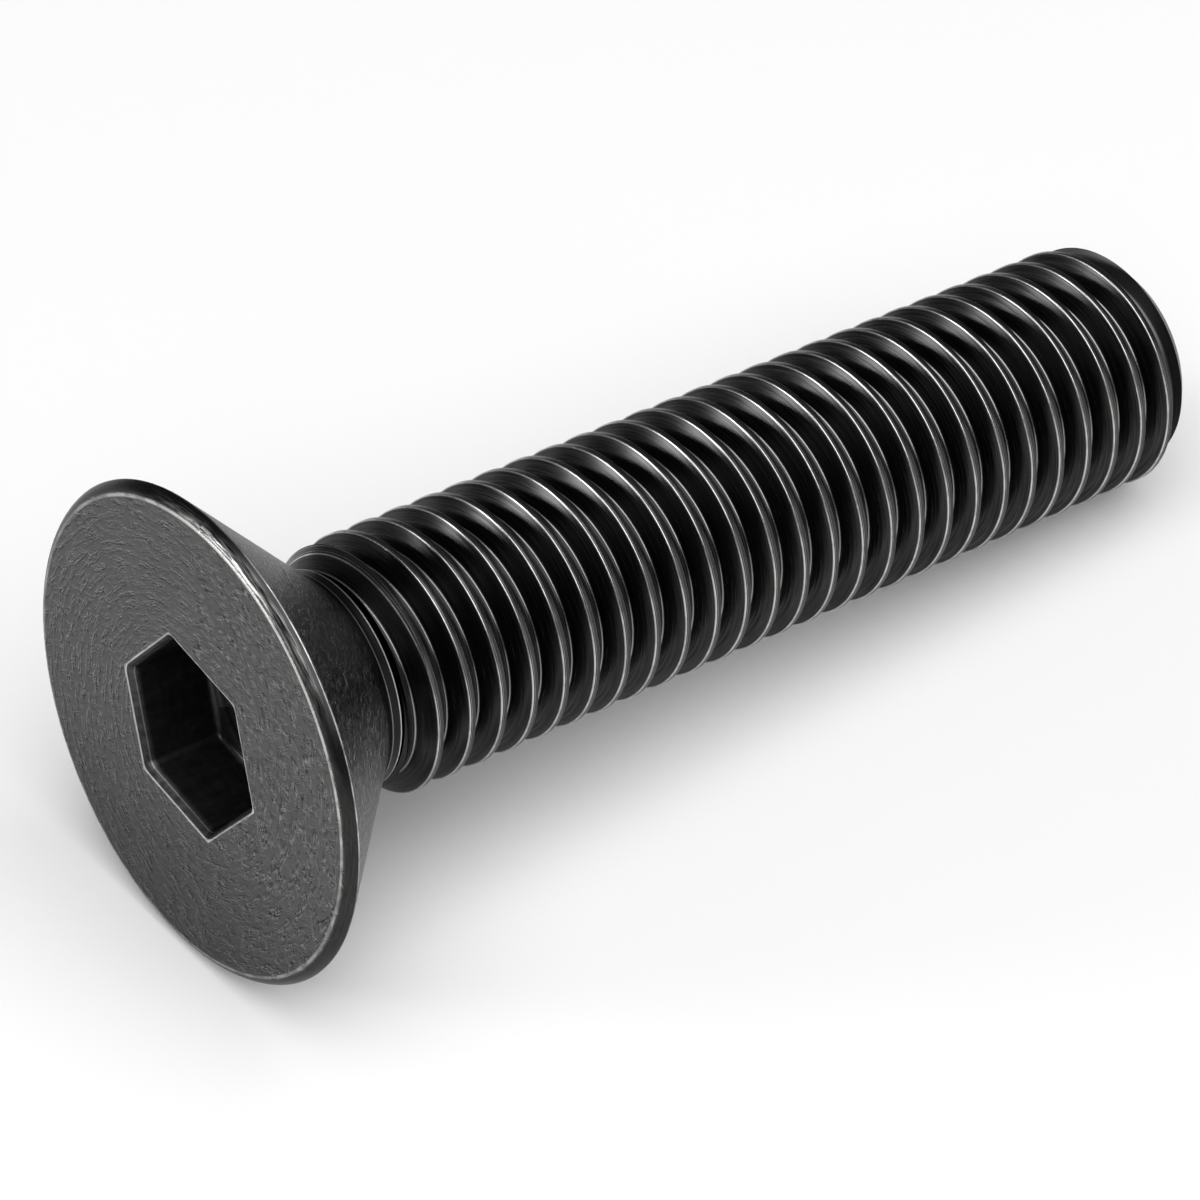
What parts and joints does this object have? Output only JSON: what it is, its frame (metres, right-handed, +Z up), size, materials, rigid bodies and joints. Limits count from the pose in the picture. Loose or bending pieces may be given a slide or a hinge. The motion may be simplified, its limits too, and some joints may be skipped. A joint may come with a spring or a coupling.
{
  "type": "countersunk screw",
  "caption": "Blackened steel countersunk screw with a hexagon socket in its flat head and a thread along its whole shank, lying on its side.",
  "frame": {"origin": "on the level top that the screw lies on, under the middle of its overall box", "axes": "+Z up; +X from the head towards the tip, level; the screw's own line dips 6.2 degrees from +X because the head is wider than the thread"},
  "size_m": [0.0564, 0.0234, 0.0233],
  "materials": {
    "black_steel": "black oxide, satin, with fine turning marks on the face and worn bright edges"
  },
  "bodies": {
    "root": {"screw": "black_steel"}
  },
  "joints": []
}
